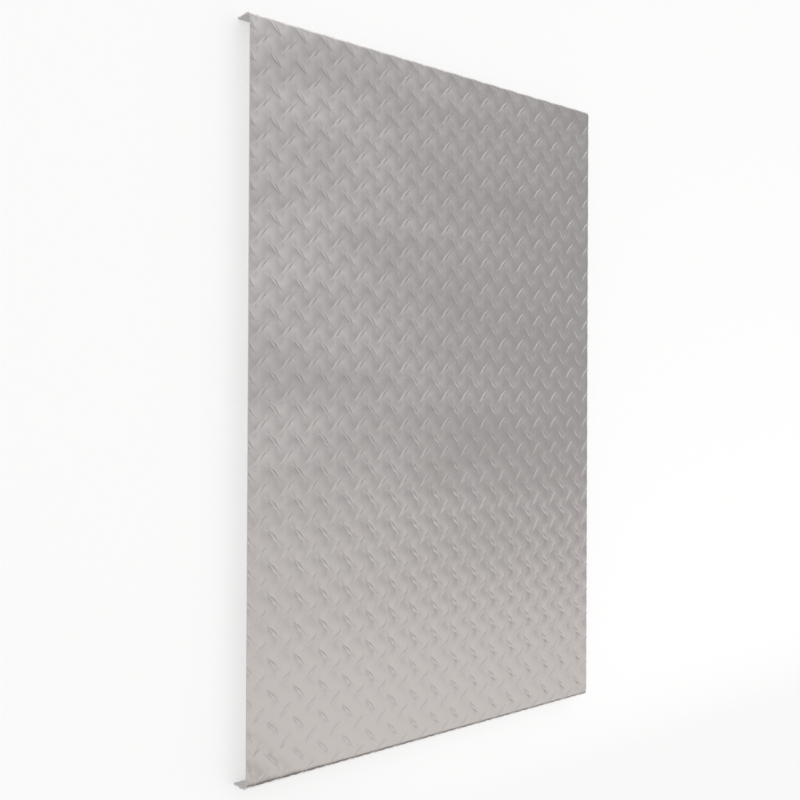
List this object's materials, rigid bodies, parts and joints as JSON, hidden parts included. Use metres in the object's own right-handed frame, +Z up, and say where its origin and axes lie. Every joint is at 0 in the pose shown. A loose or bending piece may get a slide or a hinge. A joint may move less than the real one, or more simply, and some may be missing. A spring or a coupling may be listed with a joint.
{
  "type": "aluminium tread plate",
  "caption": "Rolled aluminium sheet with crossed raised lugs on its face and opposite edges folded back into short flanges; a facing, decking or step panel that wraps over a flat core.",
  "frame": {"origin": "on the floor under the middle of the plate, which lies on the edges of its flanges", "axes": "+X across the sheet, +Y along it from flange to flange, +Z up out of the tread face"},
  "size_m": [0.6096, 0.9144, 0.0298],
  "materials": {
    "mill_aluminium": "bright mill finish with fine rolling lines, satin sheen and faint cloudy stains"
  },
  "bodies": {
    "root": {"tread_plate": "mill_aluminium"}
  },
  "joints": []
}
